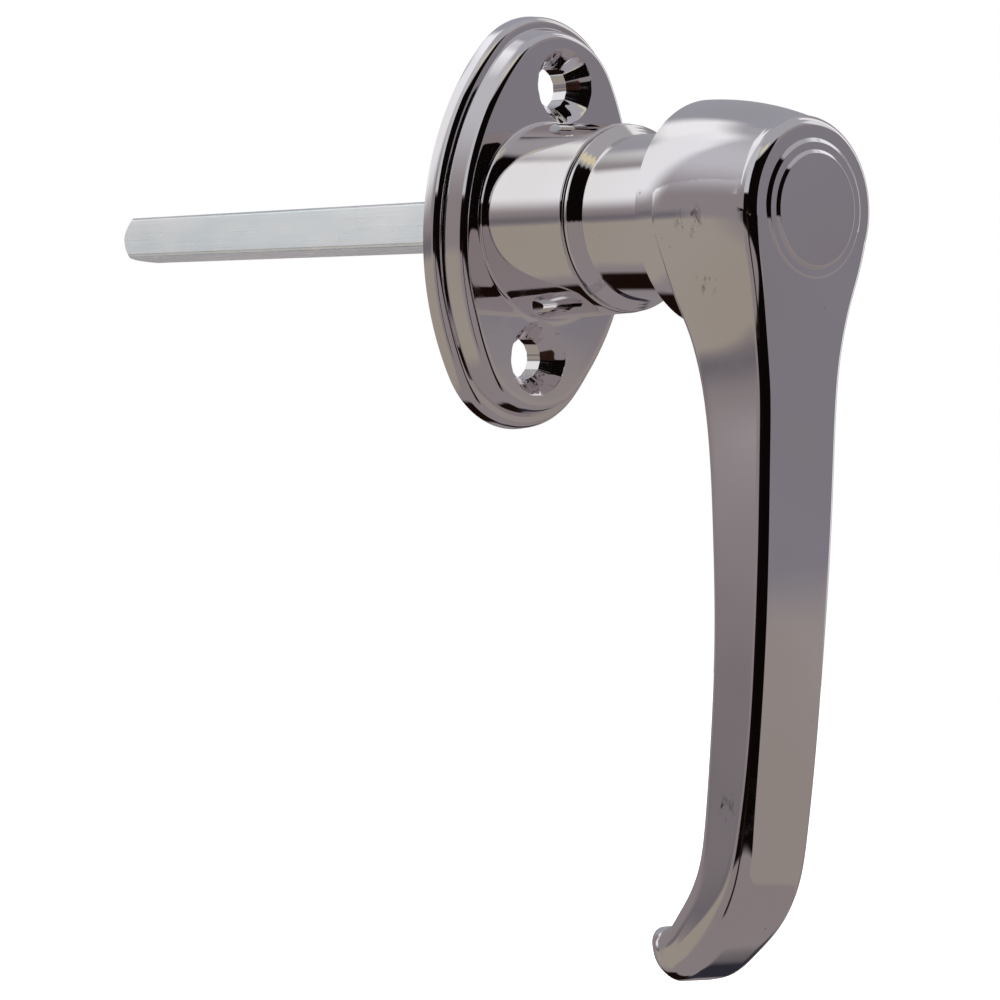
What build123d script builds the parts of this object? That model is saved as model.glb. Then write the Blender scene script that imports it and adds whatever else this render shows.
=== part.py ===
from build123d import *
import os

# L-handle on an oval plate, non-locking, with a square spindle.
# Millimetres. Origin: spindle axis at the back (mounting) face of the plate.
# -Y faces the room, +Y goes into the door, +Z is up, the lever hangs down.

# oval plate, drawn as a four-arc oval: two end arcs and two flank arcs
plate_half_width = 22.9
plate_half_height = 35.35
plate_end_radius = 17.0
flange_height = 2.9
flange_draft = 0.35
ledge_inset = 2.2
step_start = 1.2
plate_height = 6.6
face_inset = 3.4
flange_round = 1.4
face_round = 1.6

# boss in the middle of the plate
boss_base_radius = 16.5
boss_top_radius = 15.5
boss_top = 24.9
boss_round = 0.5
boss_root = 0.6

# fixing holes, countersunk for M6
hole_pitch = 46.5
hole_radius = 3.55
sink_radius = 6.15
sink_depth = 3.4

# back pocket that hides the retaining parts
pocket_radius = 12.6
pocket_depth = 7.0
stop_radius = 15.6
stop_depth = 5.9
stop_level = -3.25
core_depth = 3.4

# bearing bush
bore_radius = 10.9
bush_outer = 10.88
bush_inner = 9.0
bush_flange_radius = 12.7
bush_seat_radius = 12.8
bush_seat = 23.6
bush_face = 25.2

# handle casting, turned parts
shank_radius = 8.96
shank_end = 1.5
flat_half = 7.4
flat_reach = 5.7
groove_radius = 8.45
shoulder = 25.22
bead_radius = 15.3
neck_radius = 13.5
head_back = 43.2
head_radius = 18.1
head_bevel = 0.9
head_front = 64.8
face_radius = 12.9
pad_radius = 10.45
pad_height = 0.45

# spindle
spindle_side = 8.0
spindle_corner = 0.6
spindle_front = 39.0
spindle_end = 113.5
socket_side = 8.06

# inside of the head
cavity_radius = 8.4
web_front = 50.0
screw_clear = 2.75

# cap
cap_radius = 9.2
cap_height = 0.4
cap_plug = 8.38
cap_depth = 5.0

# lever stations down its length: front edge (y, z), back edge (y, z), half width at the front,
# half width at the back, how far the flanks swell between them, corner radius
lever_stations = [
    ((-64.4, 7.0), (-47.0, 7.0), 11.2, 15.4, 0.8, 1.6),
    ((-64.75, 3.0), (-46.6, 2.6), 13.3, 17.6, 0.85, 1.6),
    ((-64.85, 0.0), (-46.4, -1.0), 13.85, 18.02, 0.87, 1.6),
    ((-64.95, -4.0), (-46.6, -5.0), 13.45, 17.4, 0.75, 1.6),
    ((-65.05, -8.0), (-47.4, -9.2), 12.65, 15.75, 0.45, 1.6),
    ((-65.15, -13.0), (-48.2, -14.4), 11.3, 13.2, 0.2, 1.6),
    ((-65.5, -20.5), (-49.8, -20.2), 9.85, 10.55, 0.1, 1.55),
    ((-66.3, -28.5), (-52.2, -27.8), 8.9, 9.15, 0.06, 1.5),
    ((-67.1, -37.0), (-54.4, -36.4), 8.6, 8.7, 0.05, 1.5),
    ((-68.3, -51.0), (-56.9, -50.5), 8.3, 8.4, 0.05, 1.5),
    ((-69.3, -68.0), (-59.0, -67.6), 7.85, 7.95, 0.05, 1.5),
    ((-69.85, -85.0), (-60.0, -85.0), 7.65, 7.7, 0.05, 1.7),
    ((-69.95, -96.1), (-60.05, -95.0), 7.75, 7.75, 0.05, 2.4),
    ((-69.35, -103.9), (-59.4, -101.4), 7.9, 7.9, 0.05, 3.2),
    ((-66.8, -110.1), (-57.6, -106.0), 8.0, 8.0, 0.05, 3.8),
    ((-62.7, -115.1), (-55.4, -109.6), 7.9, 7.9, 0.05, 3.95),
    ((-58.5, -118.8), (-53.8, -111.5), 7.5, 7.5, 0.05, 3.9),
    ((-55.4, -119.9), (-52.2, -112.1), 6.8, 6.8, 0.05, 3.7),
    ((-52.8, -119.2), (-50.8, -113.0), 5.4, 5.4, 0.05, 2.8),
    ((-51.2, -117.9), (-50.3, -114.4), 3.0, 3.0, 0.05, 1.4),
]

# stop washer, spring washer and circlip
washer_radius = 12.2
washer_back = 4.3
washer_front = 5.5
tab_half = 3.0
tab_reach = 15.2
spring_thick = 0.5
spring_radius = 11.9
spring_bore = 9.3
clip_back = 3.1
clip_front = 4.3
clip_outer = 10.7
clip_gap = 2.6
lug_radius = 1.6
lug_hole = 0.8

# spindle screw, M5
screw_radius = 2.48
screw_head = 4.25
screw_head_height = 5.0
screw_tip = 27.0
screw_key = 2.3
screw_washer_radius = 5.5
screw_washer_height = 1.2


def facing(depth):
    """Sketch plane at y = -depth: sketch x is X, sketch y is Z, extrude goes to the room."""
    return Plane(origin=(0, -depth, 0), x_dir=(1, 0, 0), z_dir=(0, -1, 0))


def oval(depth, inset):
    """Four-arc oval, inset evenly from the plate's edge, drawn at y = -depth."""
    a = plate_half_width
    b = plate_half_height
    r = plate_end_radius
    flank = (a * a + b * b - 2 * b * r) / (2 * (a - r))
    cx = flank - a
    cz = b - r
    length = (cx * cx + cz * cz) ** 0.5
    jx = (cx / length) * flank - cx - (cx / length) * inset
    jz = (cz / length) * (flank - inset)
    w = a - inset
    h = b - inset
    with BuildSketch(facing(depth)) as sk:
        with BuildLine():
            ThreePointArc((jx, jz), (0, h), (-jx, jz))
            ThreePointArc((-jx, jz), (-w, 0), (-jx, -jz))
            ThreePointArc((-jx, -jz), (0, -h), (jx, -jz))
            ThreePointArc((jx, -jz), (w, 0), (jx, jz))
        make_face()
    return sk.sketch.face()


def disc(radius, back, front):
    """Plain round slab between two depths."""
    with BuildPart() as p:
        with BuildSketch(facing(back)):
            Circle(radius)
        extrude(amount=front - back)
    return p.part


def tier(back, front, inset_back, inset_front, rounding):
    """One step of the plate, with its front edge rounded."""
    body = loft([oval(back, inset_back), oval(front, inset_front)])
    rim = body.faces().sort_by(Axis.Y)[0].edges()
    return fillet(rim, rounding)


def make_escutcheon():
    plate = tier(0, flange_height, 0, flange_draft, flange_round)
    slope = (face_inset - ledge_inset) / (plate_height - flange_height)
    start_inset = ledge_inset - slope * (flange_height - step_start)
    plate += tier(step_start, plate_height, start_inset, face_inset, face_round)
    with BuildPart() as boss:
        with BuildSketch(Plane.XY):
            with BuildLine():
                Polyline(
                    (0, -1),
                    (boss_base_radius, -1),
                    (boss_base_radius, -plate_height),
                    (boss_top_radius, -boss_top),
                    (0, -boss_top),
                    close=True,
                )
            make_face()
        revolve(axis=Axis.Y)
    body = plate + boss.part
    front = [
        e for e in body.edges().filter_by(GeomType.CIRCLE)
        if abs(e.center().Y + boss_top) < 0.01 and abs(e.radius - boss_top_radius) < 0.01
    ]
    body = fillet(front, boss_round)
    root = [
        e for e in body.edges().filter_by(GeomType.CIRCLE)
        if abs(e.center().Y + plate_height) < 0.01 and abs(e.radius - boss_base_radius) < 0.01
    ]
    body = fillet(root, boss_root)
    body -= disc(bore_radius, -1, boss_top + 1)
    body -= disc(bush_seat_radius, bush_seat, boss_top + 1)
    body -= disc(pocket_radius, -1, pocket_depth)
    with BuildPart() as sweep:
        with BuildSketch(facing(-1)):
            Circle(stop_radius)
            with Locations((0, stop_level - 20)):
                Rectangle(60, 40, mode=Mode.SUBTRACT)
        extrude(amount=stop_depth + 1)
    body -= sweep.part
    with BuildPart() as cores:
        with BuildSketch(facing(-1)):
            add(oval(-1, 6.0))
            Circle(stop_radius + 2.2, mode=Mode.SUBTRACT)
            with Locations((0, hole_pitch / 2), (0, -hole_pitch / 2)):
                Circle(hole_radius + 3.4, mode=Mode.SUBTRACT)
        extrude(amount=core_depth + 1)
    for piece in cores.part.solids():
        if piece.volume > 40:
            body -= piece
    for z in (hole_pitch / 2, -hole_pitch / 2):
        with BuildPart() as hole:
            with BuildSketch(Plane.XY):
                with BuildLine():
                    Polyline(
                        (0, 1),
                        (hole_radius, 1),
                        (hole_radius, sink_depth - plate_height),
                        (sink_radius, -plate_height),
                        (sink_radius + 0.5, -plate_height - 0.65),
                        (0, -plate_height - 0.65),
                        close=True,
                    )
                make_face()
            revolve(axis=Axis.Y)
        body -= hole.part.moved(Location((0, 0, z)))
    return body


def make_bearing_bush():
    bush = disc(bush_outer, pocket_depth + 0.2, bush_seat)
    bush += disc(bush_flange_radius, bush_seat, bush_face)
    bush -= disc(bush_inner, 0, bush_face + 1)
    edges = bush.edges().filter_by(GeomType.CIRCLE).filter_by(
        lambda e: abs(e.radius - bush_inner) < 0.01
    )
    return chamfer(edges, 0.3)


def make_turned_handle():
    """Shank, bead, neck and drum-shaped head, all round about the spindle axis."""
    with BuildPart() as p:
        with BuildSketch(Plane.XY):
            with BuildLine():
                Polyline(
                    (0, -shank_end),
                    (shank_radius - 0.5, -shank_end),
                    (shank_radius, -shank_end - 0.5),
                    (shank_radius, -shoulder),
                    (bead_radius - 0.4, -shoulder),
                )
                ThreePointArc(
                    (bead_radius - 0.4, -shoulder),
                    (bead_radius, -shoulder - 0.6),
                    (bead_radius - 0.4, -shoulder - 1.2),
                )
                ThreePointArc(
                    (bead_radius - 0.4, -shoulder - 1.2),
                    (neck_radius + 0.35, -shoulder - 1.55),
                    (neck_radius, -shoulder - 2.4),
                )
                Polyline(
                    (neck_radius, -shoulder - 2.4),
                    (neck_radius + 0.1, -head_back),
                    (head_radius - head_bevel, -head_back),
                    (head_radius, -head_back - head_bevel),
                )
                ThreePointArc(
                    (head_radius, -head_back - head_bevel),
                    (head_radius - 1.05, -head_back - 10.4),
                    (head_radius - 3.5, -head_back - 19.2),
                )
                ThreePointArc(
                    (head_radius - 3.5, -head_back - 19.2),
                    (head_radius - 4.15, -head_front + 0.65),
                    (face_radius, -head_front),
                )
                Polyline((face_radius, -head_front), (0, -head_front), (0, -shank_end))
            make_face()
        revolve(axis=Axis.Y)
    return p.part


def station(front, back, half_front, half_back, swell, corner):
    """Rounded section across the lever, square to the way it runs, flanks slightly bowed."""
    dy = front[0] - back[0]
    dz = front[1] - back[1]
    thick = (dy * dy + dz * dz) ** 0.5
    middle = (0, (front[0] + back[0]) / 2, (front[1] + back[1]) / 2)
    run = (0, -dz / thick, dy / thick)
    t = thick / 2
    w = (half_front + half_back) / 2 + swell
    with BuildSketch(Plane(origin=middle, x_dir=(1, 0, 0), z_dir=run)) as sk:
        with BuildLine():
            Line((half_back, -t), (-half_back, -t))
            ThreePointArc((-half_back, -t), (-w, 0), (-half_front, t))
            Line((-half_front, t), (half_front, t))
            ThreePointArc((half_front, t), (w, 0), (half_back, -t))
        make_face()
        fillet(sk.vertices(), corner)
    return sk.sketch.face()


def make_lever():
    """Rounded sections joined from inside the head down to the hooked, fingertip-like end."""
    return loft([station(*s) for s in lever_stations])


def make_handle():
    body = make_turned_handle() + make_lever()
    body += disc(pad_radius, head_front - 0.5, head_front + pad_height)
    body -= disc(cavity_radius, web_front, head_front + 2)
    body -= disc(screw_clear, spindle_front - 1, web_front + 1)
    with BuildPart() as socket:
        with BuildSketch(facing(0)):
            RectangleRounded(socket_side, socket_side, 0.4)
        extrude(amount=spindle_front)
    body -= socket.part
    ring = disc(shank_radius + 1, clip_back, clip_front + 0.1)
    ring -= disc(groove_radius, clip_back, clip_front + 0.1)
    body -= ring
    for side in (1, -1):
        cut = Box(4, flat_reach + 1, 24)
        body -= cut.moved(Location((side * (flat_half + 2), -(flat_reach - 1) / 2, 0)))
    return body


def make_front_cap():
    top = head_front + pad_height
    cap = disc(cap_radius, top, top + cap_height)
    rim = cap.faces().sort_by(Axis.Y)[0].edges()
    cap = fillet(rim, 0.25)
    cap += disc(cap_plug, top - cap_depth, top)
    cap -= disc(cap_plug - 1.6, top - cap_depth - 1, top - 1.0)
    return cap


def make_spindle():
    with BuildPart() as p:
        with BuildSketch(facing(-spindle_end)):
            RectangleRounded(spindle_side, spindle_side, spindle_corner)
        extrude(amount=spindle_end + spindle_front)
        ends = p.faces().filter_by(Axis.Y)
        chamfer(ends.edges(), 0.5)
    return p.part - disc(2.5, spindle_front - 16, spindle_front + 1)


def make_spindle_screw():
    start = web_front + screw_washer_height
    screw = disc(screw_radius, screw_tip, start)
    screw += disc(screw_head, start, start + screw_head_height)
    with BuildPart() as key:
        with BuildSketch(facing(start + screw_head_height - 2.6)):
            RegularPolygon(screw_key, 6)
        extrude(amount=4)
    screw -= key.part
    top = screw.edges().filter_by(GeomType.CIRCLE).filter_by(
        lambda e: abs(e.radius - screw_head) < 0.01
    )
    return chamfer(top.sort_by(Axis.Y)[0], 0.4)


def make_screw_washer():
    washer = disc(screw_washer_radius, web_front, web_front + screw_washer_height)
    return washer - disc(screw_clear - 0.1, web_front - 1, web_front + 3)


def make_stop_washer():
    """Flat washer keyed to the shank's flats, with one tab that meets the stops."""
    with BuildPart() as p:
        with BuildSketch(facing(washer_back)):
            Circle(washer_radius)
            with Locations((0, tab_reach / 2)):
                Rectangle(2 * tab_half, tab_reach)
        extrude(amount=washer_front - washer_back)
        with BuildSketch(facing(washer_back)):
            Circle(shank_radius + 0.04)
            with Locations((flat_half + 5.04, 0), (-flat_half - 5.04, 0)):
                Rectangle(10, 30, mode=Mode.SUBTRACT)
        extrude(amount=washer_front - washer_back, mode=Mode.SUBTRACT)
    return p.part


def make_spring_washer():
    """Curved spring washer: a ring cut from a thin shallow trough."""
    height = pocket_depth - 0.02 - washer_front
    rise = height - spring_thick
    bend = (spring_radius ** 2 + rise ** 2) / (2 * rise)
    axis = Location((0, bend - washer_front - height, 0))
    trough = (Cylinder(bend, 40) - Cylinder(bend - spring_thick, 42)).moved(axis)
    ring = disc(spring_radius, washer_front, washer_front + height)
    ring -= disc(spring_bore, washer_front - 1, washer_front + height + 1)
    return trough & ring


def make_circlip():
    with BuildPart() as p:
        with BuildSketch(facing(clip_back)):
            with Locations((0, -0.35)):
                Circle(clip_outer)
            with Locations((2.6, 9.9), (-2.6, 9.9)):
                Circle(lug_radius)
            Circle(groove_radius + 0.01, mode=Mode.SUBTRACT)
            with Locations((0, 10)):
                Rectangle(clip_gap, 8, mode=Mode.SUBTRACT)
            with Locations((2.6, 9.9), (-2.6, 9.9)):
                Circle(lug_hole, mode=Mode.SUBTRACT)
        extrude(amount=clip_front - clip_back)
    return p.part


makers = {
    "escutcheon": make_escutcheon,
    "bearing_bush": make_bearing_bush,
    "handle": make_handle,
    "front_cap": make_front_cap,
    "spindle": make_spindle,
    "spindle_screw": make_spindle_screw,
    "screw_washer": make_screw_washer,
    "stop_washer": make_stop_washer,
    "spring_washer": make_spring_washer,
    "circlip": make_circlip,
}

os.makedirs("parts", exist_ok=True)
for name, make in makers.items():
    export_step(make(), "parts/" + name + ".step")
    print("wrote", name)
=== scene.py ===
import math
import bmesh
import bpy
import numpy as np
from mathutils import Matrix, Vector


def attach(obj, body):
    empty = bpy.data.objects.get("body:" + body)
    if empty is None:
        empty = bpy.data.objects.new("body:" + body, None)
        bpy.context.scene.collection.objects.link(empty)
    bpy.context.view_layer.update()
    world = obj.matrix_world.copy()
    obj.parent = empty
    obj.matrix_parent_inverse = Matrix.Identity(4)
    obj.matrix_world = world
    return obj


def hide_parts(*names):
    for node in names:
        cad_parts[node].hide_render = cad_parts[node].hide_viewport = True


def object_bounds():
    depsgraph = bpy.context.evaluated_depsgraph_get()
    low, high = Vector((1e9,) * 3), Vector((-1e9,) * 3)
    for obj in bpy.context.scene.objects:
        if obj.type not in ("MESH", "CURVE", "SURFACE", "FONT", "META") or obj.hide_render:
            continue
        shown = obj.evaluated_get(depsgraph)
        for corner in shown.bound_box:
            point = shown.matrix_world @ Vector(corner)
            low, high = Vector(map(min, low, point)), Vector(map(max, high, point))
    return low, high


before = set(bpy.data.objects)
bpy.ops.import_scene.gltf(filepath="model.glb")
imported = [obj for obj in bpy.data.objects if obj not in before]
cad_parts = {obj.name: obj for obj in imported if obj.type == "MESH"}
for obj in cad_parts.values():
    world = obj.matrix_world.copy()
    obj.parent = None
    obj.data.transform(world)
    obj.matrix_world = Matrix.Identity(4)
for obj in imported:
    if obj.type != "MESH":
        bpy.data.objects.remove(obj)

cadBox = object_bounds()
mm = 0.001
print("frame loaded:", len(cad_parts), "cad nodes")

reach = 1.0  # how far a cutting piece runs past the face that it starts from, mm
pole = 0.02  # radius left open at a turning axis, where a flat lid closes it, mm


# shapes are in millimetres until their mesh is made
# walks a list of (across, along, round) corners and swaps each corner for an arc tangent to both runs:
# the arc leaves each run at round * tan(half the turn) from the corner
def roundedProfile(corners, steps=9):
    pts = np.array([c[:2] for c in corners], float)
    out = [pts[0]]
    for i in range(1, len(pts) - 1):
        r = corners[i][2]
        a = pts[i - 1] - pts[i]
        b = pts[i + 1] - pts[i]
        a /= np.linalg.norm(a)
        b /= np.linalg.norm(b)
        turn = math.pi - math.acos(np.clip(a @ b, -1, 1))
        if r <= 0 or turn < 1e-3:
            out.append(pts[i])
            continue
        run = r * math.tan(turn / 2)
        centre = pts[i] + (a + b) / np.linalg.norm(a + b) * (r / math.cos(turn / 2))
        start = pts[i] + a * run - centre
        side = np.sign(start[0] * b[1] - start[1] * b[0]) or 1
        t = np.linspace(0, turn, steps) * side
        out.extend(np.stack([
            centre[0] + start[0] * np.cos(t) - start[1] * np.sin(t),
            centre[1] + start[0] * np.sin(t) + start[1] * np.cos(t),
        ], 1))
    out.append(pts[-1])
    return np.array(out)


# splits long runs of a profile so that no step is longer than the given length
def divided(profile, longest):
    parts = [profile[:1]]
    for a, b in zip(profile[:-1], profile[1:]):
        n = max(1, int(math.ceil(np.linalg.norm(b - a) / longest)))
        parts.append(a + (b - a) * (np.arange(1, n + 1) / n)[:, None])
    return np.concatenate(parts)


# a grid of points (rows, columns, xyz) becomes quads between neighbouring rows and columns;
# columns always close round, rows close too for a ring, and otherwise each end gets a flat lid
def gridMesh(name, grid, ring=False):
    rows, cols = grid.shape[:2]
    index = np.arange(rows * cols).reshape(rows, cols)
    nextCol = np.roll(index, -1, 1)
    upper = np.roll(index, -1, 0) if ring else index[1:]
    upperNext = np.roll(nextCol, -1, 0) if ring else nextCol[1:]
    lower, lowerNext = (index, nextCol) if ring else (index[:-1], nextCol[:-1])
    quads = np.stack([lower, lowerNext, upperNext, upper], -1).reshape(-1, 4).tolist()
    if not ring:
        quads += [index[0][::-1].tolist(), index[-1].tolist()]
    mesh = bpy.data.meshes.new(name)
    mesh.from_pydata((grid.reshape(-1, 3) * mm).tolist(), [], quads)
    work = bmesh.new()
    work.from_mesh(mesh)
    bmesh.ops.remove_doubles(work, verts=work.verts, dist=2e-7)
    bmesh.ops.recalc_face_normals(work, faces=work.faces)
    work.to_mesh(mesh)
    work.free()
    piece = bpy.data.objects.new(name, mesh)
    bpy.context.scene.collection.objects.link(piece)
    return piece


# turns a profile of (radius, depth) about the spindle axis: x = r cos t, y = -depth, z = r sin t
# chatter (waves, deep) adds deep * cos(waves * t) to any radius over 1 mm, as a blunt cutter does
def turned(name, profile, cols=240, ring=False, height=0.0, chatter=(0, 0)):
    t = np.linspace(0, 2 * np.pi, cols, endpoint=False)
    r, d = profile[:, 0, None], profile[:, 1, None]
    r = r + np.where(r > 1, chatter[1], 0) * np.cos(chatter[0] * t)
    grid = np.stack([r * np.cos(t), -d + 0 * t, r * np.sin(t) + height], -1)
    return gridMesh(name, grid, ring)


# carries one closed outline of (x, z) points straight from one depth to another
def prism(name, outline, back, front):
    rows = np.array([back, front], float)[:, None]
    grid = np.stack([
        outline[None, :, 0] + 0 * rows, -rows + 0 * outline[None, :, 0], outline[None, :, 1] + 0 * rows,
    ], -1)
    return gridMesh(name, grid)


# cuts or joins with exact booleans, then drops the tool pieces
def combine(piece, how, tools):
    for tool in tools:
        step = piece.modifiers.new(how, "BOOLEAN")
        step.operation = how
        step.solver = "EXACT"
        step.object = tool
        bpy.context.view_layer.update()
        done = bpy.data.meshes.new_from_object(piece.evaluated_get(bpy.context.evaluated_depsgraph_get()))
        piece.modifiers.clear()
        piece.data = done
        bpy.data.objects.remove(tool)
    return piece


# merges stray doubles, then shades smooth except over edges sharper than the angle, with large faces
# counting most towards a shared normal
def finishMesh(piece, sharpDegrees=32):
    work = bmesh.new()
    work.from_mesh(piece.data)
    bmesh.ops.remove_doubles(work, verts=work.verts, dist=3e-7)
    bmesh.ops.dissolve_degenerate(work, edges=work.edges, dist=3e-7)
    bmesh.ops.recalc_face_normals(work, faces=work.faces)
    work.to_mesh(piece.data)
    work.free()
    piece.data.polygons.foreach_set("use_smooth", np.ones(len(piece.data.polygons), bool))
    piece.data.set_sharp_from_angle(angle=math.radians(sharpDegrees))
    weigh = piece.modifiers.new("evenNormals", "WEIGHTED_NORMAL")
    weigh.keep_sharp = True
    weigh.weight = 80
    return piece


# a piece rides on its body and stands for its cad node, which is hidden
def placed(piece, body, nodeName):
    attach(piece, body)
    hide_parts(nodeName)
    return piece


# oval plate with its boss, in mm
plate = dict(
    halfWidth=22.9, halfHeight=35.35, endRadius=17.0,
    flangeHeight=2.9, flangeDraft=0.35, ledgeInset=2.2, faceHeight=6.6, faceInset=3.4,
    flangeRound=1.4, faceRound=1.6, ledgeRound=0.12, faceBand=1.9, rimFoot=0.05,
    bossBase=16.5, bossTop=15.5, bossDepth=24.9, bossRound=0.5, bossRoot=0.6, bossApron=1.3,
    seatRadius=12.8, seatEdge=0.1, seatDepth=23.6, bore=10.9, pocket=12.6, pocketDepth=7.0,
    stopRadius=15.6, stopDepth=5.9, stopLevel=-3.25,
    holePitch=46.5, holeRadius=3.55, sinkRadius=6.15, sinkDepth=3.4, sinkEdge=0.12, sinkFlare=1.2,
    chatter=(15, 0.035),
    coreInset=6.0, coreDepth=3.4, coreRing=17.8, corePad=6.95,
)


# four-arc oval: the point whose outward normal has angle f is its arc's centre + (radius - inset) * normal
def ovalLoop(p, inset, f):
    a, b, r = p["halfWidth"], p["halfHeight"], p["endRadius"]
    flank = (a * a + b * b - 2 * b * r) / (2 * (a - r))
    cx, cz = flank - a, b - r
    c, s = np.cos(f), np.sin(f)
    onFlank = np.arctan2(np.abs(s), np.abs(c)) < math.atan2(cz, cx)
    x = np.where(onFlank, -np.sign(c) * cx + (flank - inset) * c, (r - inset) * c)
    z = np.where(onFlank, (flank - inset) * s, np.sign(s) * cz + (r - inset) * s)
    return np.stack([x, z], -1)


# one closed skin of rows: ovals up the rim, each inset along its normals, then rows that share out from
# the last oval to the boss root, circles up the boss and down its bore, and rows back to the first oval;
# the screw holes, the stop pocket and the hollows of the back are cut from it
def makePlate(p):
    a, b, r = p["halfWidth"], p["halfHeight"], p["endRadius"]
    flank = math.atan2(b - r, (a * a + b * b - 2 * b * r) / (2 * (a - r)) - a)
    quarter = [np.linspace(-flank, flank, 100, endpoint=False),
               np.linspace(flank, math.pi - flank, 80, endpoint=False),
               np.linspace(math.pi - flank, math.pi + flank, 100, endpoint=False),
               np.linspace(math.pi + flank, 2 * math.pi - flank, 80, endpoint=False)]
    f = np.concatenate(quarter)
    rim = divided(roundedProfile([
        (0.0, 0.0, 0),
        (0.0, p["rimFoot"], 0),
        (p["flangeDraft"], p["flangeHeight"], p["flangeRound"]),
        (p["ledgeInset"], p["flangeHeight"], p["ledgeRound"]),
        (p["faceInset"], p["faceHeight"], p["faceRound"]),
        (p["faceInset"] + p["faceBand"], p["faceHeight"], 0),
    ], 12), 0.6)
    ovals = np.stack([
        np.concatenate([ovalLoop(p, i, f), np.full((len(f), 1), d)], 1) for i, d in rim
    ])
    angle = np.arctan2(ovals[-1, :, 1], ovals[-1, :, 0])
    boss = divided(roundedProfile([
        (p["bossBase"] + p["bossApron"], p["faceHeight"], 0),
        (p["bossBase"], p["faceHeight"], p["bossRoot"]),
        (p["bossTop"], p["bossDepth"], p["bossRound"]),
        (p["seatRadius"], p["bossDepth"], p["seatEdge"]),
        (p["seatRadius"], p["seatDepth"], 0),
        (p["bore"], p["seatDepth"], 0),
        (p["bore"], p["pocketDepth"], 0),
        (p["pocket"], p["pocketDepth"], 0),
        (p["pocket"], 0.0, 0),
    ]), 1.6)
    rings = np.stack([
        np.stack([r * np.cos(angle), r * np.sin(angle), np.full(len(f), d)], 1) for r, d in boss
    ])
    share = np.linspace(0, 1, 8)[1:-1, None, None]
    face = ovals[-1][None] * (1 - share) + rings[0][None] * share
    back = rings[-1][None] * (1 - share) + ovals[0][None] * share
    layers = np.concatenate([ovals, face, rings, back])
    grid = np.stack([layers[..., 0], -layers[..., 2], layers[..., 1]], -1)
    body = gridMesh("ovalPlate", grid, ring=True)
    tools = []
    for sign in (1, -1):
        hole = divided(np.array([
            (pole / 2, -reach), (p["holeRadius"], -reach),
            (p["holeRadius"], p["faceHeight"] - p["sinkDepth"]),
            (p["sinkRadius"], p["faceHeight"] - p["sinkEdge"]),
            (p["sinkRadius"] + p["sinkEdge"] * 1.6, p["faceHeight"] + 0.01),
            (p["sinkRadius"] + p["sinkFlare"], p["faceHeight"] + p["sinkFlare"]),
            (pole / 2, p["faceHeight"] + p["sinkFlare"]),
        ]), 3.0)
        tools.append(turned("holeTool", hole, 192, height=sign * p["holePitch"] / 2, chatter=p["chatter"]))
    t = np.linspace(0, 2 * np.pi, 240, endpoint=False)
    sweep = np.stack([np.cos(t), np.sin(t)], 1) * p["stopRadius"]
    sweep[:, 1] = np.maximum(sweep[:, 1], p["stopLevel"])
    tools.append(prism("stopTool", sweep, -reach, p["stopDepth"]))
    core = prism("coreTool", ovalLoop(p, p["coreInset"], f), -reach, p["coreDepth"])
    circle = np.stack([np.cos(t), np.sin(t)], 1)
    keep = [prism("keepTool", circle * p["coreRing"], -2 * reach, p["coreDepth"] + reach)]
    for sign in (1, -1):
        pad = circle * p["corePad"] + np.array([0, sign * p["holePitch"] / 2])
        keep.append(prism("keepTool", pad, -2 * reach, p["coreDepth"] + reach))
    tools.append(combine(core, "DIFFERENCE", keep))
    combine(body, "DIFFERENCE", tools)
    return finishMesh(body, 30)


ovalPlate = placed(makePlate(plate), "plate", "escutcheon")
print("plate made:", len(ovalPlate.data.polygons), "faces")


# turned head, neck and shank of the handle, in mm; the bow values set how the head narrows to its face
handle = dict(
    shank=8.96, shankEnd=1.5, flatHalf=7.4, flatReach=5.7, flatCut=4.0, flatTall=12.0,
    grooveRadius=8.45, grooveBack=3.1, grooveFront=4.4,
    shankEdge=0.4, shoulder=25.22, bead=15.3, beadBand=0.7, beadEdge=0.3,
    neck=13.5, neckFlare=0.1, neckRoot=0.25, headEdge=0.15,
    headBack=43.2, headRadius=18.1, headBevel=0.9, headFront=64.8, faceRadius=12.9,
    bowMid=(1.05, 10.4), bowFront=(3.5, 19.2), bowNose=(4.15, 0.65),
    padRadius=10.45, padHeight=0.45, padRound=0.3, padSlant=0.55, padInset=0.1,
    cavity=8.4, webFront=50.0, screwClear=2.75, socketDepth=39.0, socketSide=8.06,
    stepBack=0.9, stepFront=2.55, stepIn=0.2, rings=dict(count=3, deep=0.008, edge=0.12),
)

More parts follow.
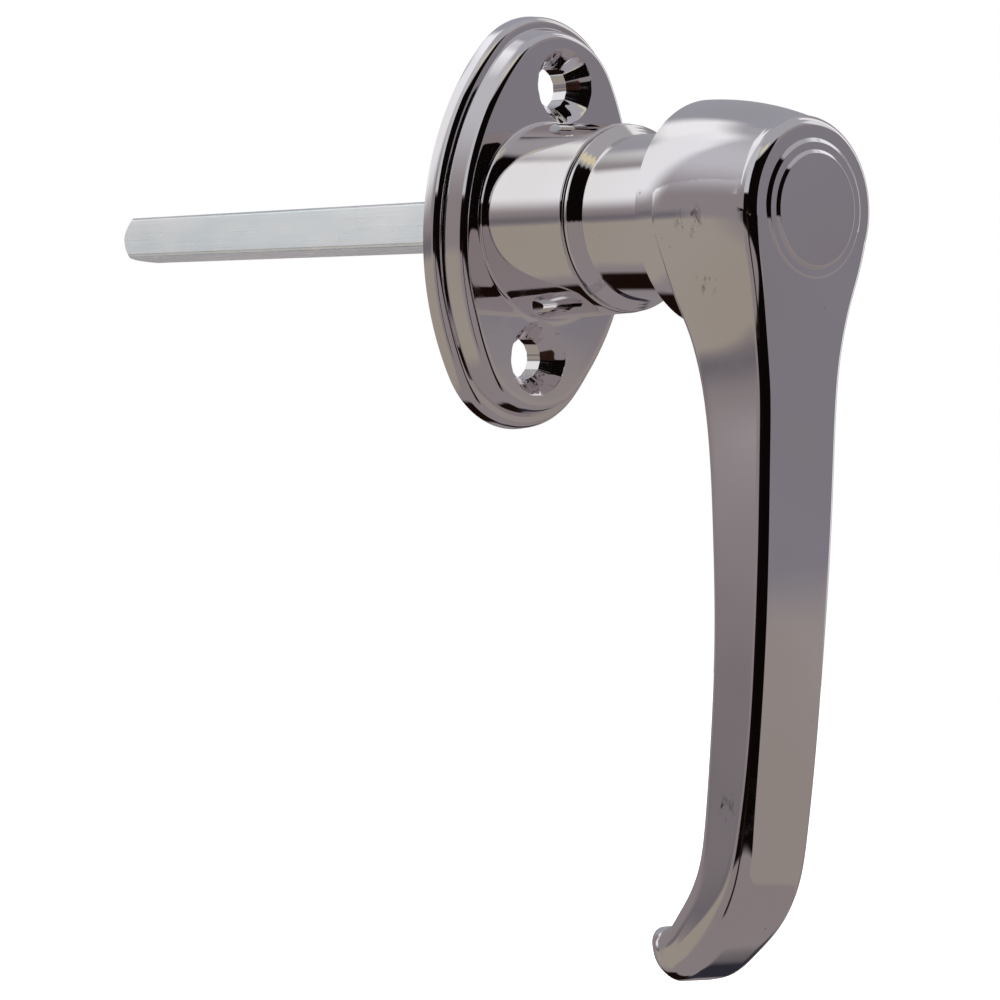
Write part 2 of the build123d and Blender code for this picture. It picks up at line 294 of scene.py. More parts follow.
# hooked arm of the handle, in mm
# each station down the arm: front edge y and z, back edge y and z, half width at the front and at the back,
# swell of the flanks between them, corner radius
lever = dict(
    stations=[
        (-64.4, 7.0, -47.0, 7.0, 11.2, 15.4, 0.8, 1.6),
        (-64.75, 3.0, -46.6, 2.6, 13.3, 17.6, 0.85, 1.6),
        (-64.85, 0.0, -46.4, -1.0, 13.85, 18.0, 0.78, 1.6),
        (-64.95, -4.0, -46.6, -5.0, 13.45, 17.4, 0.75, 1.6),
        (-65.05, -8.0, -47.4, -9.2, 12.65, 15.75, 0.45, 1.6),
        (-65.15, -13.0, -48.2, -14.4, 11.3, 13.2, 0.2, 1.6),
        (-65.5, -20.5, -49.8, -20.2, 9.85, 10.55, 0.1, 1.7),
        (-66.3, -28.5, -52.2, -27.8, 8.9, 9.15, 0.06, 1.75),
        (-67.1, -37.0, -54.4, -36.4, 8.6, 8.7, 0.05, 1.75),
        (-68.3, -51.0, -56.9, -50.5, 8.3, 8.4, 0.05, 1.75),
        (-69.3, -68.0, -59.0, -67.6, 7.85, 7.95, 0.05, 1.75),
        (-69.83, -85.0, -60.0, -85.0, 7.65, 7.7, 0.05, 1.8),
        (-69.92, -96.1, -60.05, -95.0, 7.75, 7.75, 0.05, 2.4),
        (-69.35, -103.9, -59.4, -101.4, 7.9, 7.9, 0.05, 3.2),
        (-66.8, -110.1, -57.6, -106.0, 8.0, 8.0, 0.05, 3.8),
        (-62.7, -115.1, -55.4, -109.6, 7.9, 7.9, 0.05, 3.95),
        (-58.5, -118.8, -53.8, -111.5, 7.5, 7.5, 0.05, 3.9),
        (-55.4, -119.9, -52.2, -112.1, 6.8, 6.8, 0.05, 3.7),
    ],
    domeLength=4.6, domeRise=0.12, faceSwell=0.1,
)


# smooth curve through given values: natural cubic spline, second slopes from one linear solve
def through(knots, values, at):
    n = len(knots)
    h = np.diff(knots)
    system = np.eye(n)
    right = np.zeros_like(values)
    inner = np.arange(1, n - 1)
    system[inner, inner - 1] = h[:-1]
    system[inner, inner] = 2 * (h[:-1] + h[1:])
    system[inner, inner + 1] = h[1:]
    rise = np.diff(values, axis=0) / h[:, None]
    right[1:-1] = 6 * np.diff(rise, axis=0)
    bend = np.linalg.solve(system, right)
    i = np.clip(np.searchsorted(knots, at) - 1, 0, n - 2)
    a = ((knots[i + 1] - at) / h[i])[:, None]
    b = 1 - a
    hh = (h[i] ** 2)[:, None] / 6
    return a * values[i] + b * values[i + 1] + ((a ** 3 - a) * bend[i] + (b ** 3 - b) * bend[i + 1]) * hh


# rounded rectangle: four corner arcs joined by straight runs, every point as an offset (across, out)
def roundedSection(half, thick, corner, arc=12, run=14):
    loops = []
    for k, (sx, sy) in enumerate([(1, 1), (-1, 1), (-1, -1), (1, -1)]):
        t = np.linspace(k * np.pi / 2, (k + 1) * np.pi / 2, arc)
        cx = sx * (half - corner)[:, None]
        cy = sy * (thick - corner)[:, None]
        loops.append(np.stack([cx + corner[:, None] * np.cos(t), cy + corner[:, None] * np.sin(t)], -1))
    out = []
    for k in range(4):
        out.append(loops[k])
        s = (np.arange(1, run) / run)[None, :, None]
        out.append(loops[k][:, -1:] * (1 - s) + loops[(k + 1) % 4][:, :1] * s)
    return np.concatenate(out, 1)


# each section lies in the plane of the sideways axis and the line from its back edge to its front edge;
# through a section the half width runs from back value to front value, plus swell * 4 s (1 - s) between;
# the end closes as half an ellipsoid: sizes shrink by sqrt(1 - u * u) while u runs along the dome
def makeLever(p):
    stations = np.array(p["stations"], float)
    middle = (stations[:, 0:2] + stations[:, 2:4]) / 2
    knots = np.concatenate([[0], np.cumsum(np.linalg.norm(np.diff(middle, axis=0), axis=1))])
    at = np.linspace(0, knots[-1], 320)
    line = through(knots, stations, at)
    u = np.sin(np.linspace(0, np.pi / 2, 26))[1:-1]
    u = np.append(u, 0.9995)
    tail = np.repeat(line[-1:], len(u), 0)
    onward = line[-1] - line[-6]  # the way the arm runs as it ends
    onward[0:2] = onward[2:4] = (onward[0:2] + onward[2:4]) / 2
    onward[1] = onward[3] = onward[0] * p["domeRise"]
    onward[0:4] *= p["domeLength"] / np.linalg.norm(onward[0:2])
    tail[:, 0:4] += u[:, None] * onward[0:4]
    line = np.concatenate([line, tail])
    shrink = np.concatenate([np.ones(len(at)), np.sqrt(1 - u * u)])
    centre = (line[:, 0:2] + line[:, 2:4]) / 2
    lean = line[:, 0:2] - line[:, 2:4]
    thick = np.linalg.norm(lean, axis=1) / 2
    lean /= 2 * thick[:, None]
    thick *= shrink
    half = (line[:, 4] + line[:, 5]) / 2 * shrink
    section = roundedSection(half, thick, line[:, 7] * shrink)
    s = (section[..., 1] / thick[:, None] + 1) / 2
    wide = line[:, 5, None] + (line[:, 4] - line[:, 5])[:, None] * s + line[:, 6, None] * 4 * s * (1 - s)
    across = section[..., 0] / half[:, None]
    x = across * wide * shrink[:, None]
    # faces front and back crown a little, by faceSwell * (1 - across squared)
    out = section[..., 1] * (1 - p["faceSwell"] / thick.max() * across ** 2)
    y = centre[:, None, 0] + out * lean[:, None, 0]
    z = centre[:, None, 1] + out * lean[:, None, 1]
    grid = np.stack([x, y, z], -1)
    return gridMesh("leverArm", grid)


# straight step from one profile point to another with shallow turned rings: evenly spaced
# points, every other one sunk square to the step
def ringedStep(a, b, rings):
    a, b = np.array(a), np.array(b)
    along = np.linspace(0, 1, 2 * rings["count"] + 1)
    off = np.array([-(b - a)[1], (b - a)[0]]) / np.linalg.norm(b - a) * rings["deep"]
    pts = a + (b - a) * along[:, None] + off * (np.arange(len(along)) % 2)[:, None]
    return [(*q, rings["edge"]) for q in pts]


# one profile turned about the axis, from the shank's end round the bead, neck and head to the bottom of the
# cavity, with the arm joined on and the cavity, square socket and flats cut
def makeHandle(p, arm):
    crown = np.array([(p["headRadius"], p["headBack"] + p["headBevel"]),
                      (p["headRadius"] - p["bowMid"][0], p["headBack"] + p["bowMid"][1]),
                      (p["headRadius"] - p["bowFront"][0], p["headBack"] + p["bowFront"][1]),
                      (p["headRadius"] - p["bowNose"][0], p["headFront"] - p["bowNose"][1]),
                      (p["faceRadius"], p["headFront"])])
    side = arcThrough(crown[0], crown[1], crown[2], 40)
    nose = arcThrough(crown[2], crown[3], crown[4], 18)
    first = roundedProfile([
        (pole, p["shankEnd"], 0),
        (p["shank"], p["shankEnd"], p["shankEdge"]),
        (p["shank"], p["grooveBack"], 0),
        (p["grooveRadius"], p["grooveBack"], 0),
        (p["grooveRadius"], p["grooveFront"], 0),
        (p["shank"], p["grooveFront"], 0),
        (p["shank"], p["shoulder"], 0),
        (p["bead"], p["shoulder"], p["beadEdge"]),
        (p["bead"], p["shoulder"] + p["beadBand"], p["beadEdge"]),
        *ringedStep((p["bead"] - p["stepIn"], p["shoulder"] + p["stepBack"]),
                    (p["neck"], p["shoulder"] + p["stepFront"]), p["rings"]),
        (p["neck"] + p["neckFlare"], p["headBack"], p["neckRoot"]),
        (p["headRadius"] - p["headBevel"], p["headBack"], p["headEdge"]),
        (p["headRadius"], p["headBack"] + p["headBevel"], 0),
    ])
    last = roundedProfile([
        (p["faceRadius"], p["headFront"], 0),
        (p["padRadius"] + p["padSlant"], p["headFront"], p["padRound"]),
        (p["padRadius"] - p["padInset"], p["headFront"] + p["padHeight"], p["padRound"]),
        (p["cavity"], p["headFront"] + p["padHeight"], 0),
        (p["cavity"], p["webFront"], 0),
        (p["screwClear"], p["webFront"], 0),
        (p["screwClear"], p["socketDepth"] - reach / 2, 0),
        (pole, p["socketDepth"] - reach / 2, 0),
    ])
    profile = divided(np.concatenate([first, side[1:], nose[1:], last[1:]]), 1.2)
    body = turned("leverHandle", profile, 288)
    combine(body, "UNION", [arm])
    # the lever's root also fills the cavity, so the cavity and socket are cut after joining
    cavity = turned("cavityTool", np.array([
        (pole, p["headFront"] + 2 * reach), (p["cavity"], p["headFront"] + 2 * reach),
        (p["cavity"], p["webFront"]), (pole, p["webFront"]),
    ]), 180)
    halfSide = p["socketSide"] / 2
    square = np.array([(1, 1), (-1, 1), (-1, -1), (1, -1)]) * halfSide
    tools = [cavity, prism("socketTool", square, -2 * reach, p["socketDepth"])]
    for sign in (1, -1):
        near, far, tall = sign * p["flatHalf"], sign * (p["flatHalf"] + p["flatCut"]), p["flatTall"]
        flat = np.array([(near, -tall), (far, -tall), (far, tall), (near, tall)], float)
        tools.append(prism("flatTool", flat, -reach, p["flatReach"]))
    combine(body, "DIFFERENCE", tools)
    return finishMesh(body, 24)


# circle through three points, walked from the first to the last
def arcThrough(a, b, c, steps):
    m = np.array([b - a, c - a]) * 2
    centre = np.linalg.solve(m, np.array([b @ b - a @ a, c @ c - a @ a]))
    r = np.linalg.norm(a - centre)
    ta, tc = (math.atan2(*(q - centre)[::-1]) for q in (a, c))
    turn = (tc - ta + math.pi) % (2 * math.pi) - math.pi
    t = ta + np.linspace(0, 1, steps) * turn
    return centre + r * np.stack([np.cos(t), np.sin(t)], 1)


leverHandle = placed(makeHandle(handle, makeLever(lever)), "lever", "handle")
print("handle made:", len(leverHandle.data.polygons), "faces")


# plain cap on the head, in mm
cap = dict(radius=9.2, seat=65.25, height=0.4, edge=0.3, slant=0.55, plug=8.38, plugDepth=5.0, plugEdge=0.2,
           wall=1.6, floor=1.0)


# a low disc with a slanted rim and a hollow plug behind it: one profile turned about the axis
def makeCap(p):
    top = p["seat"] + p["height"]
    profile = divided(roundedProfile([
        (pole / 2, top, 0),
        (p["radius"] - p["slant"], top, p["edge"]),
        (p["radius"], p["seat"], 0),
        (p["plug"], p["seat"], 0),
        (p["plug"], p["seat"] - p["plugDepth"], p["plugEdge"]),
        (p["plug"] - p["wall"], p["seat"] - p["plugDepth"], p["plugEdge"]),
        (p["plug"] - p["wall"], p["seat"] - p["floor"], 0),
        (pole / 2, p["seat"] - p["floor"], 0),
    ]), 1.5)
    return finishMesh(turned("headCap", profile, 240), 30)


headCap = placed(makeCap(cap), "lever", "front_cap")
print("cap made")


# square spindle, in mm
bar = dict(side=8.0, corner=0.7, front=39.0, end=113.5, chamfer=0.5, thread=2.5, threadDepth=16.0,
           leadSmall=3.95, leadLarge=6.2, leadLength=3.2)


# one rounded square carried along the bar with a small chamfer at the near end; the far end is turned to a
# blunt cone, so each flat ends in a curve
def makeSpindle(p):
    edge = np.array([0, 0.4, 1.0]) * p["chamfer"]
    depth = np.concatenate([np.linspace(-p["end"], p["front"] - 1, 70), p["front"] - edge[::-1]])
    inset = np.concatenate([np.zeros(70), edge])
    half = p["side"] / 2 - inset
    section = roundedSection(half, half, np.full(len(half), p["corner"]), arc=10, run=6)
    grid = np.stack([section[..., 0], -depth[:, None] + 0 * section[..., 0], section[..., 1]], -1)
    body = gridMesh("squareSpindle", grid)
    hole = turned("threadTool", np.array([
        (pole, p["front"] - p["threadDepth"]), (p["thread"], p["front"] - p["threadDepth"]),
        (p["thread"], p["front"] + reach), (pole, p["front"] + reach),
    ], float), 64)
    combine(body, "DIFFERENCE", [hole])
    tip = -p["end"]
    lead = turned("leadTool", divided(np.array([
        (pole, tip), (p["leadSmall"], tip), (p["leadLarge"], tip + p["leadLength"]),
        (p["leadLarge"], p["front"] + reach), (pole, p["front"] + reach),
    ], float), 4.0), 160)
    combine(body, "INTERSECT", [lead])
    return finishMesh(body, 20)


squareSpindle = placed(makeSpindle(bar), "lever", "spindle")
print("spindle made")


# sRGB hex to linear light: c / 12.92 near black, and ((c + 0.055) / 1.055) to the power 2.4 above that
def linear(hexColour):
    c = np.array([int(hexColour[i:i + 2], 16) for i in (1, 3, 5)]) / 255
    return (*np.where(c <= 0.04045, c / 12.92, ((c + 0.055) / 1.055) ** 2.4), 1.0)


# adds one node, sets its plain settings and sockets, and links its inputs
def node(tree, kind, settings=None, values=None, links=None):
    made = tree.nodes.new(kind)
    for key, value in (settings or {}).items():
        setattr(made, key, value)
    for key, value in (values or {}).items():
        made.inputs[key].default_value = value
    for key, source in (links or {}).items():
        tree.links.new(source, made.inputs[key])
    return made


# a principled shader wired to its output, with object coordinates for its patterns
def newMaterial(name):
    material = bpy.data.materials.new(name)
    material.use_nodes = True
    tree = material.node_tree
    tree.nodes.clear()
    shader = node(tree, "ShaderNodeBsdfPrincipled")
    node(tree, "ShaderNodeOutputMaterial", links={"Surface": shader.outputs[0]})
    place = node(tree, "ShaderNodeTexCoord").outputs["Object"]
    return material, tree, shader, place


# a noise scale of 1000 / mm gives features about that many mm across, since the pieces are in metres
# the waves are how the buffed casting shows through, and the speck and stain sizes are those of pitted plate
chrome = dict(clean="#F4F2F5", warm="#EFEBE9", mark="#57524F", shine=0.03, smudge=0.13, pitRough=0.35,
              waveMm=16, wipeMm=7, toneMm=30, scratchMm=0.35, speckMm=1.7, clusterMm=9, streakMm=1.1)


# polished chrome plate on a zinc die casting: a mirror, slightly wavy from the buffed casting below,
# with dull finger marks, hairline wiping scratches, and a few dark pits and stains in the plating
def polishedChrome(name, p, shift=0.0, specks=0.5, stains=()):
    material, tree, shader, place = newMaterial(name)

    # finger marks, where the mirror goes from shine to smudge
    wipeAt = node(tree, "ShaderNodeMapping", None, {"Location": (shift,) * 3}, {"Vector": place})
    wipe = node(tree, "ShaderNodeTexNoise", None,
                {"Scale": 1000 / p["wipeMm"], "Detail": 3, "Roughness": 0.55}, {"Vector": wipeAt.outputs[0]})
    haze = node(tree, "ShaderNodeMapRange", None, {"From Min": 0.54, "From Max": 0.72},
                {"Value": wipe.outputs["Fac"]})

    # the metal drifts between a cool and a warm tone
    toneAt = node(tree, "ShaderNodeMapping", None, {"Location": (shift + 3,) * 3}, {"Vector": place})
    tone = node(tree, "ShaderNodeTexNoise", None, {"Scale": 1000 / p["toneMm"], "Detail": 1},
                {"Vector": toneAt.outputs[0]})
    drift = node(tree, "ShaderNodeMapRange", None, {"From Min": 0.35, "From Max": 0.65},
                 {"Value": tone.outputs["Fac"]})
    metal = node(tree, "ShaderNodeMix", {"data_type": "RGBA"},
                 {6: linear(p["clean"]), 7: linear(p["warm"])}, {0: drift.outputs[0]})

    # pits are the middles of small cells, kept only where a coarser noise gathers them
    cells = node(tree, "ShaderNodeTexVoronoi", None, {"Scale": 1000 / p["speckMm"]}, {"Vector": place})
    dot = node(tree, "ShaderNodeMapRange", None,
               {"From Min": 0.05, "From Max": 0.16, "To Min": 1, "To Max": 0},
               {"Value": cells.outputs["Distance"]})
    gatherAt = node(tree, "ShaderNodeMapping", None, {"Location": (shift + 7,) * 3}, {"Vector": place})
    gather = node(tree, "ShaderNodeTexNoise", None, {"Scale": 1000 / p["clusterMm"]},
                  {"Vector": gatherAt.outputs[0]})
    cluster = node(tree, "ShaderNodeMapRange", None, {"From Min": 0.66, "From Max": 0.72, "To Max": specks},
                   {"Value": gather.outputs["Fac"]})
    mark = node(tree, "ShaderNodeMath", {"operation": "MULTIPLY"}, None,
                {0: dot.outputs[0], 1: cluster.outputs[0]})

    # stains are streaks within reach of each given place
    for x, y, z, across in stains:
        away = node(tree, "ShaderNodeVectorMath", {"operation": "DISTANCE"}, {1: (x * mm, y * mm, z * mm)},
                    {0: place})
        near = node(tree, "ShaderNodeMapRange", None,
                    {"From Min": 0.2 * across * mm, "From Max": across * mm, "To Min": 1, "To Max": 0},
                    {"Value": away.outputs["Value"]})
        streakAt = node(tree, "ShaderNodeMapping", None, {"Location": (shift,) * 3, "Scale": (1, 1, 0.5)},
                        {"Vector": place})
        streak = node(tree, "ShaderNodeTexNoise", None,
                      {"Scale": 1000 / p["streakMm"], "Detail": 3, "Roughness": 0.6},
                      {"Vector": streakAt.outputs[0]})
        dark = node(tree, "ShaderNodeMapRange", None, {"From Min": 0.55, "From Max": 0.68},
                    {"Value": streak.outputs["Fac"]})
        stain = node(tree, "ShaderNodeMath", {"operation": "MULTIPLY"}, None,
                     {0: near.outputs[0], 1: dark.outputs[0]})
        mark = node(tree, "ShaderNodeMath", {"operation": "MAXIMUM"}, None,
                    {0: mark.outputs[0], 1: stain.outputs[0]})
    colour = node(tree, "ShaderNodeMix", {"data_type": "RGBA"}, {7: linear(p["mark"])},
                  {0: mark.outputs[0], 6: metal.outputs[2]})
    tree.links.new(colour.outputs[2], shader.inputs["Base Color"])
    shader.inputs["Metallic"].default_value = 1.0
    dull = node(tree, "ShaderNodeMath", {"operation": "MULTIPLY_ADD"},
                {1: p["smudge"] - p["shine"], 2: p["shine"]}, {0: haze.outputs[0]})
    rough = node(tree, "ShaderNodeMath", {"operation": "MULTIPLY_ADD"}, {1: p["pitRough"]},
                 {0: mark.outputs[0], 2: dull.outputs[0]})
    tree.links.new(rough.outputs[0], shader.inputs["Roughness"])

    # long waves first, then hairlines that run up and down
    waveAt = node(tree, "ShaderNodeMapping", None, {"Location": (shift + 11,) * 3}, {"Vector": place})
    wave = node(tree, "ShaderNodeTexNoise", None,
                {"Scale": 1000 / p["waveMm"], "Detail": 1, "Roughness": 0.4}, {"Vector": waveAt.outputs[0]})
    rolling = node(tree, "ShaderNodeBump", None, {"Strength": 0.12, "Distance": 0.0005},
                   {"Height": wave.outputs["Fac"]})
    scratchAt = node(tree, "ShaderNodeMapping", None, {"Location": (shift,) * 3, "Scale": (1, 1, 0.12)},
                     {"Vector": place})
    scratch = node(tree, "ShaderNodeTexNoise", None,
                   {"Scale": 1000 / p["scratchMm"], "Detail": 2, "Roughness": 0.6},
                   {"Vector": scratchAt.outputs[0]})
    fine = node(tree, "ShaderNodeBump", None, {"Strength": 0.02, "Distance": 0.00004},
                {"Height": scratch.outputs["Fac"], "Normal": rolling.outputs[0]})
    tree.links.new(fine.outputs[0], shader.inputs["Normal"])
    return material


zinc = dict(bright="#FBFCFA", dull="#E8F1F2", rough=0.18, metal=0.88, drawnMm=0.5, spangleMm=14)


# bright zinc on a cold drawn bar: pale, faintly green-blue, satin, with fine lines along its length;
# the clear passivate over the zinc scatters a little, so it isn't wholly metallic
def zincOnDrawnBar(name, p):
    material, tree, shader, place = newMaterial(name)
    linesAt = node(tree, "ShaderNodeMapping", None, {"Scale": (1, 0.02, 1)}, {"Vector": place})
    lines = node(tree, "ShaderNodeTexNoise", None,
                 {"Scale": 1000 / p["drawnMm"], "Detail": 3, "Roughness": 0.6}, {"Vector": linesAt.outputs[0]})
    cloudAt = node(tree, "ShaderNodeMapping", None, {"Location": (2,) * 3, "Scale": (1, 0.4, 1)},
                   {"Vector": place})
    cloud = node(tree, "ShaderNodeTexNoise", None,
                 {"Scale": 1000 / p["spangleMm"], "Detail": 3, "Roughness": 0.6},
                 {"Vector": cloudAt.outputs[0]})
    patch = node(tree, "ShaderNodeMapRange", None, {"From Min": 0.35, "From Max": 0.68},
                 {"Value": cloud.outputs["Fac"]})
    colour = node(tree, "ShaderNodeMix", {"data_type": "RGBA"},
                  {6: linear(p["bright"]), 7: linear(p["dull"])}, {0: patch.outputs[0]})
    tree.links.new(colour.outputs[2], shader.inputs["Base Color"])
    shader.inputs["Metallic"].default_value = p["metal"]
    rough = node(tree, "ShaderNodeMapRange", None,
                 {"From Min": 0.3, "From Max": 0.7,
                  "To Min": p["rough"] - 0.05, "To Max": p["rough"] + 0.12},
                 {"Value": lines.outputs["Fac"]})
    tree.links.new(rough.outputs[0], shader.inputs["Roughness"])
    bump = node(tree, "ShaderNodeBump", None, {"Strength": 0.12, "Distance": 0.00005},
                {"Height": lines.outputs["Fac"]})
    tree.links.new(bump.outputs[0], shader.inputs["Normal"])
    return material


# pressed or turned steel: grey, satin, with a fine all-over grain and broader clouds of tone
def satinSteel(name, colour, dark, rough, grainMm=0.4, cloudMm=4):
    material, tree, shader, place = newMaterial(name)
    grain = node(tree, "ShaderNodeTexNoise", None, {"Scale": 1000 / grainMm, "Detail": 3, "Roughness": 0.6},
                 {"Vector": place})
    cloudAt = node(tree, "ShaderNodeMapping", None, {"Location": (5,) * 3}, {"Vector": place})
    cloud = node(tree, "ShaderNodeTexNoise", None, {"Scale": 1000 / cloudMm, "Detail": 3, "Roughness": 0.6},
                 {"Vector": cloudAt.outputs[0]})
    patch = node(tree, "ShaderNodeMapRange", None, {"From Min": 0.4, "From Max": 0.7},
                 {"Value": cloud.outputs["Fac"]})
    tone = node(tree, "ShaderNodeMix", {"data_type": "RGBA"}, {6: linear(colour), 7: linear(dark)},
                {0: patch.outputs[0]})
    tree.links.new(tone.outputs[2], shader.inputs["Base Color"])
    shader.inputs["Metallic"].default_value = 1.0
    sheen = node(tree, "ShaderNodeMapRange", None,
                 {"From Min": 0.3, "From Max": 0.7, "To Min": rough - 0.07, "To Max": rough + 0.1},
                 {"Value": grain.outputs["Fac"]})
    tree.links.new(sheen.outputs[0], shader.inputs["Roughness"])
    bump = node(tree, "ShaderNodeBump", None, {"Strength": 0.15, "Distance": 0.00004},
                {"Height": grain.outputs["Fac"]})
    tree.links.new(bump.outputs[0], shader.inputs["Normal"])
    return material


# moulded black acetal: waxy, with a slightly uneven sheen in 0.8 mm patches
def mouldedAcetal(name, skinMm=0.8):
    material, tree, shader, place = newMaterial(name)
    skin = node(tree, "ShaderNodeTexNoise", None, {"Scale": 1000 / skinMm}, {"Vector": place})
    tone = node(tree, "ShaderNodeMix", {"data_type": "RGBA"}, {6: linear("#141416"), 7: linear("#1D1D20")},
                {0: skin.outputs["Fac"]})
    tree.links.new(tone.outputs[2], shader.inputs["Base Color"])
    sheen = node(tree, "ShaderNodeMapRange", None,
                 {"From Min": 0.3, "From Max": 0.7, "To Min": 0.38, "To Max": 0.5},
                 {"Value": skin.outputs["Fac"]})
    tree.links.new(sheen.outputs[0], shader.inputs["Roughness"])
    bump = node(tree, "ShaderNodeBump", None, {"Strength": 0.1, "Distance": 0.00004},
                {"Height": skin.outputs["Fac"]})
    tree.links.new(bump.outputs[0], shader.inputs["Normal"])
    return material


# gives a piece or a cad node its finish
def dress(piece, material):
    piece.data.materials.clear()
    piece.data.materials.append(material)


dress(ovalPlate, polishedChrome("polishedChromePlate", chrome, 1.0, 0.3))
# where the plating is stained: x, y, z and reach, in mm
handleStains = [(-17, -54.5, -4, 3.2), (-14, -56, -13.5, 2.6), (-7.7, -65, -92, 2.8)]
dress(leverHandle, polishedChrome("polishedChromeHandle", chrome, 5.0, 0.5, handleStains))
dress(headCap, polishedChrome("polishedChromeCap", chrome, 9.0, 0.0))
dress(squareSpindle, zincOnDrawnBar("zincOnDrawnBar", zinc))
dress(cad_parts["bearing_bush"], mouldedAcetal("mouldedAcetal"))
zincSteel = satinSteel("zincPlatedSteel", "#B9BBBA", "#9A9D9C", 0.3)
for name in ("spindle_screw", "screw_washer", "stop_washer"):
    dress(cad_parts[name], zincSteel)
dress(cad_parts["spring_washer"], satinSteel("springSteel", "#77767A", "#5C5A5C", 0.36))
dress(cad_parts["circlip"], satinSteel("phosphatedSteel", "#38383B", "#2A2A2B", 0.5))
print("materials made")


# the room that the chrome mirrors, as broad soft zones: azimuth 0 is straight in front of the object and
# grows to the right as one faces it, from -270 to 90; each zone gives its span in azimuth and elevation
# and how softly each ends, in degrees; later zones lie on top
room = dict(
    base="#8A8284",
    zones={
        "pale ceiling": dict(turn=(-300, 120), rise=(42, 95), soft=(10, 16), colour="#A7A6AB"),
        "wall behind right": dict(turn=(-235, -178), rise=(14, 76), soft=(12, 8), colour="#9C9CA4"),
        "cool wall front right": dict(turn=(18, 84), rise=(4.5, 22), soft=(8, 3), colour="#807C83"),
        "warm foot of that wall": dict(turn=(14, 84), rise=(-18, 4.5), soft=(8, 3), colour="#958D8A"),
        "warm lower wall": dict(turn=(-168, -98), rise=(-50, -9), soft=(16, 6), colour="#9C948B"),
        "grey skirting board": dict(turn=(-162, -112), rise=(-9, -3), soft=(12, 6), colour="#6F6A6F"),
        "bright wall far left": dict(turn=(-146, -93), rise=(24, 66), soft=(8, 34), colour="#BFBEC4"),
        "pale board to the left": dict(turn=(-95, -57), rise=(11, 64), soft=(4, 2), colour="#BFC1C6"),
        "soft box": dict(turn=(-186, -130), rise=(46, 66), soft=(18, 10), colour="#F6F6F8"),
        "lit strip below it": dict(turn=(-154, -125), rise=(7, 58), soft=(9, 16), colour="#ECECEF"),
        "window at the right": dict(turn=(80, 110), rise=(2, 60), soft=(6, 5), colour="#F1F1F3"),
        "rest of that window": dict(turn=(-290, -258), rise=(2, 60), soft=(6, 5), colour="#F1F1F3"),
        "dark band behind the camera": dict(turn=(-92, -50), rise=(-10, 10), soft=(4, 2.5), colour="#0E0808"),
        "dark room at the camera": dict(turn=(-61, 17), rise=(-9, 45), soft=(2.5, 3), colour="#0B0707"),
        "brown post below left": dict(turn=(-64, -55), rise=(-44, -5), soft=(3, 6), colour="#2A1A14"),
        "cream ceiling edge": dict(turn=(-48, -12), rise=(49, 57), soft=(8, 4), colour="#D8D0B0"),
        "lamp to the right": dict(turn=(55, 78), rise=(30, 50), soft=(9, 7), colour="#E2E3E5"),
        "dark floor behind right": dict(turn=(-238, -182), rise=(-60, -33), soft=(9, 6), colour="#180D09"),
        "navy corner": dict(turn=(-264, -232), rise=(-54, -27), soft=(9, 7), colour="#2E2D36"),
    },
)


# a direction's azimuth is the arc tangent of its share ahead over its share to the left, less 90 degrees,
# and its elevation the arc sine of its share upward; a zone covers as much as the product of its four edges
def makeRoom(p):
    world = bpy.data.worlds.new("studio")
    bpy.context.scene.world = world
    world.use_nodes = True
    tree = world.node_tree
    tree.nodes.clear()
    way = node(tree, "ShaderNodeTexCoord").outputs["Generated"]
    ahead, left, up = (node(tree, "ShaderNodeVectorMath", {"operation": "DOT_PRODUCT"}, {1: axis}, {0: way})
                       .outputs["Value"] for axis in ((0, -1, 0), (-1, 0, 0), (0, 0, 1)))
    turn = node(tree, "ShaderNodeMath", {"operation": "ARCTAN2"}, links={0: ahead, 1: left}).outputs[0]
    rise = node(tree, "ShaderNodeMath", {"operation": "ARCSINE"}, links={0: up}).outputs[0]
    current = None
    for zone in p["zones"].values():
        share = None
        for angle, span, soft, shift in ((turn, zone["turn"], zone["soft"][0], 90),
                                         (rise, zone["rise"], zone["soft"][1], 0)):
            half = math.radians(soft) / 2
            for at, after in ((math.radians(span[0] + shift), 1), (math.radians(span[1] + shift), 0)):
                edge = node(tree, "ShaderNodeMapRange", {"interpolation_type": "SMOOTHSTEP"},
                            {"From Min": at - half, "From Max": at + half,
                             "To Min": 1 - after, "To Max": after},
                            {"Value": angle}).outputs[0]
                if share is None:
                    share = edge
                else:
                    share = node(tree, "ShaderNodeMath", {"operation": "MULTIPLY"}, None,
                                 {0: share, 1: edge}).outputs[0]
        mix = node(tree, "ShaderNodeMix", {"data_type": "RGBA"},
                   {6: linear(p["base"]), 7: linear(zone["colour"])}, {0: share})
        if current is not None:
            tree.links.new(current, mix.inputs[6])
        current = mix.outputs[2]
    studio = node(tree, "ShaderNodeBackground", links={"Color": current})
    white = node(tree, "ShaderNodeBackground", values={"Color": (1, 1, 1, 1), "Strength": 1.0})
    seen = node(tree, "ShaderNodeLightPath").outputs["Is Camera Ray"]
    both = node(tree, "ShaderNodeMixShader", links={0: seen, 1: studio.outputs[0], 2: white.outputs[0]})
    node(tree, "ShaderNodeOutputWorld", links={"Surface": both.outputs[0]})


makeRoom(room)

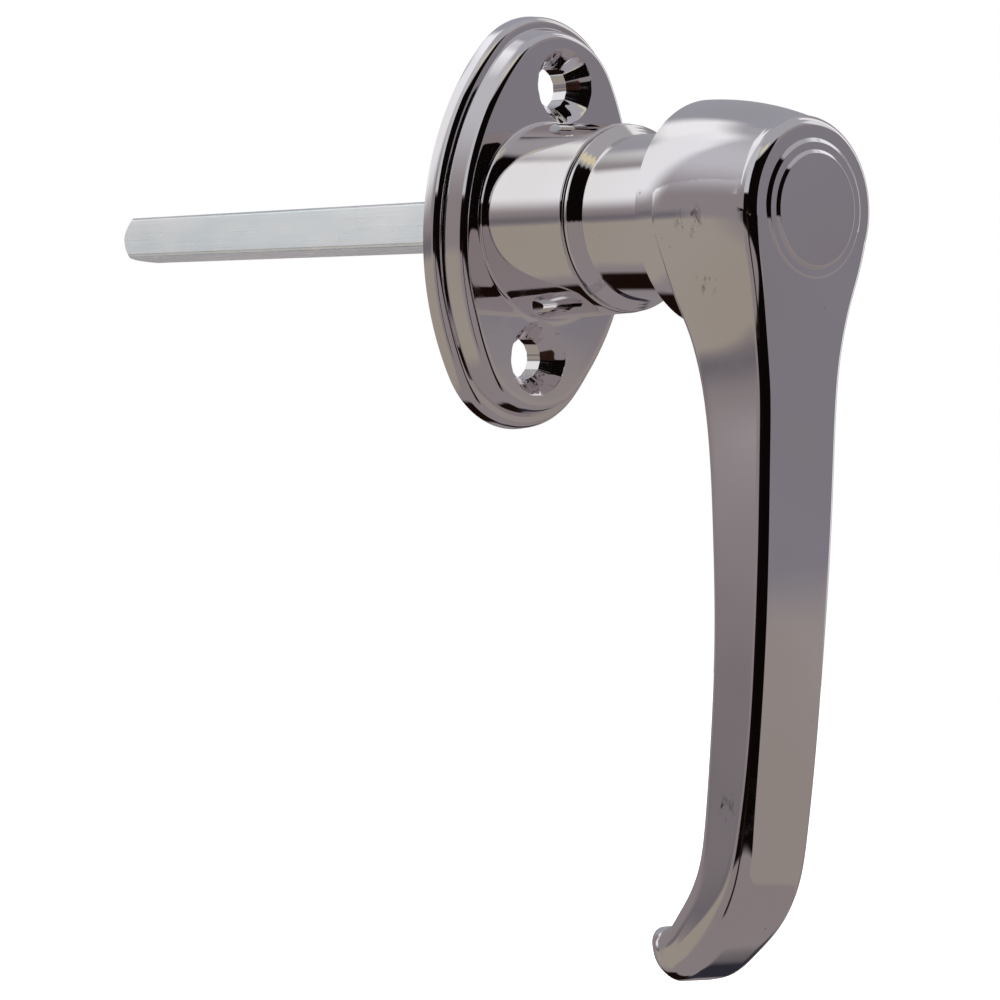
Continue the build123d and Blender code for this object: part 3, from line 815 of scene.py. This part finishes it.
# pale floor, in metres
floor = dict(drop=0.16, half=6.0, colour="#F4F4F4", rough=0.9, glow=0.95)
level = cadBox[0][2] - floor["drop"]
h = floor["half"]
floorMesh = bpy.data.meshes.new("paleFloor")
floorMesh.from_pydata([(-h, -h, level), (h, -h, level), (h, h, level), (-h, h, level)], [], [(0, 1, 2, 3)])
paleFloor = bpy.data.objects.new("paleFloor", floorMesh)
bpy.context.scene.collection.objects.link(paleFloor)
floorPaint, _, floorShader, _ = newMaterial("paleFloorPaint")
floorShader.inputs["Base Color"].default_value = linear(floor["colour"])
floorShader.inputs["Roughness"].default_value = floor["rough"]
floorShader.inputs["Emission Color"].default_value = (1, 1, 1, 1)
floorShader.inputs["Emission Strength"].default_value = floor["glow"]
dress(paleFloor, floorPaint)
paleFloor.visible_glossy = False  # the chrome mirrors the surround, not a bare white sheet

# soft lights: place and size in metres, power in watts; each faces the middle of the object
aim = (0, -0.03, -0.03)
lights = [
    dict(name="softBoxHigh", place=(-0.5, -0.9, 1.3), size=1.0, power=26, colour="#FFFFFF"),
    dict(name="softBoxSide", place=(1.2, -0.5, 0.7), size=0.8, power=12, colour="#F4F2FF"),
    dict(name="softBoxBehind", place=(-0.3, 1.2, 0.9), size=0.9, power=14, colour="#FFFFFF"),
]
for lamp in lights:
    data = bpy.data.lights.new(lamp["name"], "AREA")
    data.size = lamp["size"]
    data.energy = lamp["power"]
    data.color = linear(lamp["colour"])[:3]
    box = bpy.data.objects.new(lamp["name"], data)
    bpy.context.scene.collection.objects.link(box)
    box.location = lamp["place"]
    away = np.array(lamp["place"]) - np.array(aim)
    away /= np.linalg.norm(away)
    box.rotation_euler = (math.acos(away[2]), 0, math.atan2(away[0], -away[1]))
    box.visible_glossy = False

# camera: place in metres, turn in degrees
camera = dict(place=(-0.31191, -0.33836, -0.06172), turn=(91.771, -5.580, -42.885), lensMm=97.2)
cameraData = bpy.data.cameras.new("camera")
cameraData.lens = camera["lensMm"]
cameraData.sensor_width = 36
cameraData.clip_start = 0.01
viewer = bpy.data.objects.new("camera", cameraData)
bpy.context.scene.collection.objects.link(viewer)
viewer.location = camera["place"]
viewer.rotation_euler = [math.radians(a) for a in camera["turn"]]
bpy.context.scene.camera = viewer
bpy.context.scene.view_settings.view_transform = "Standard"  # keeps white white and the chrome contrasty
print("studio made")
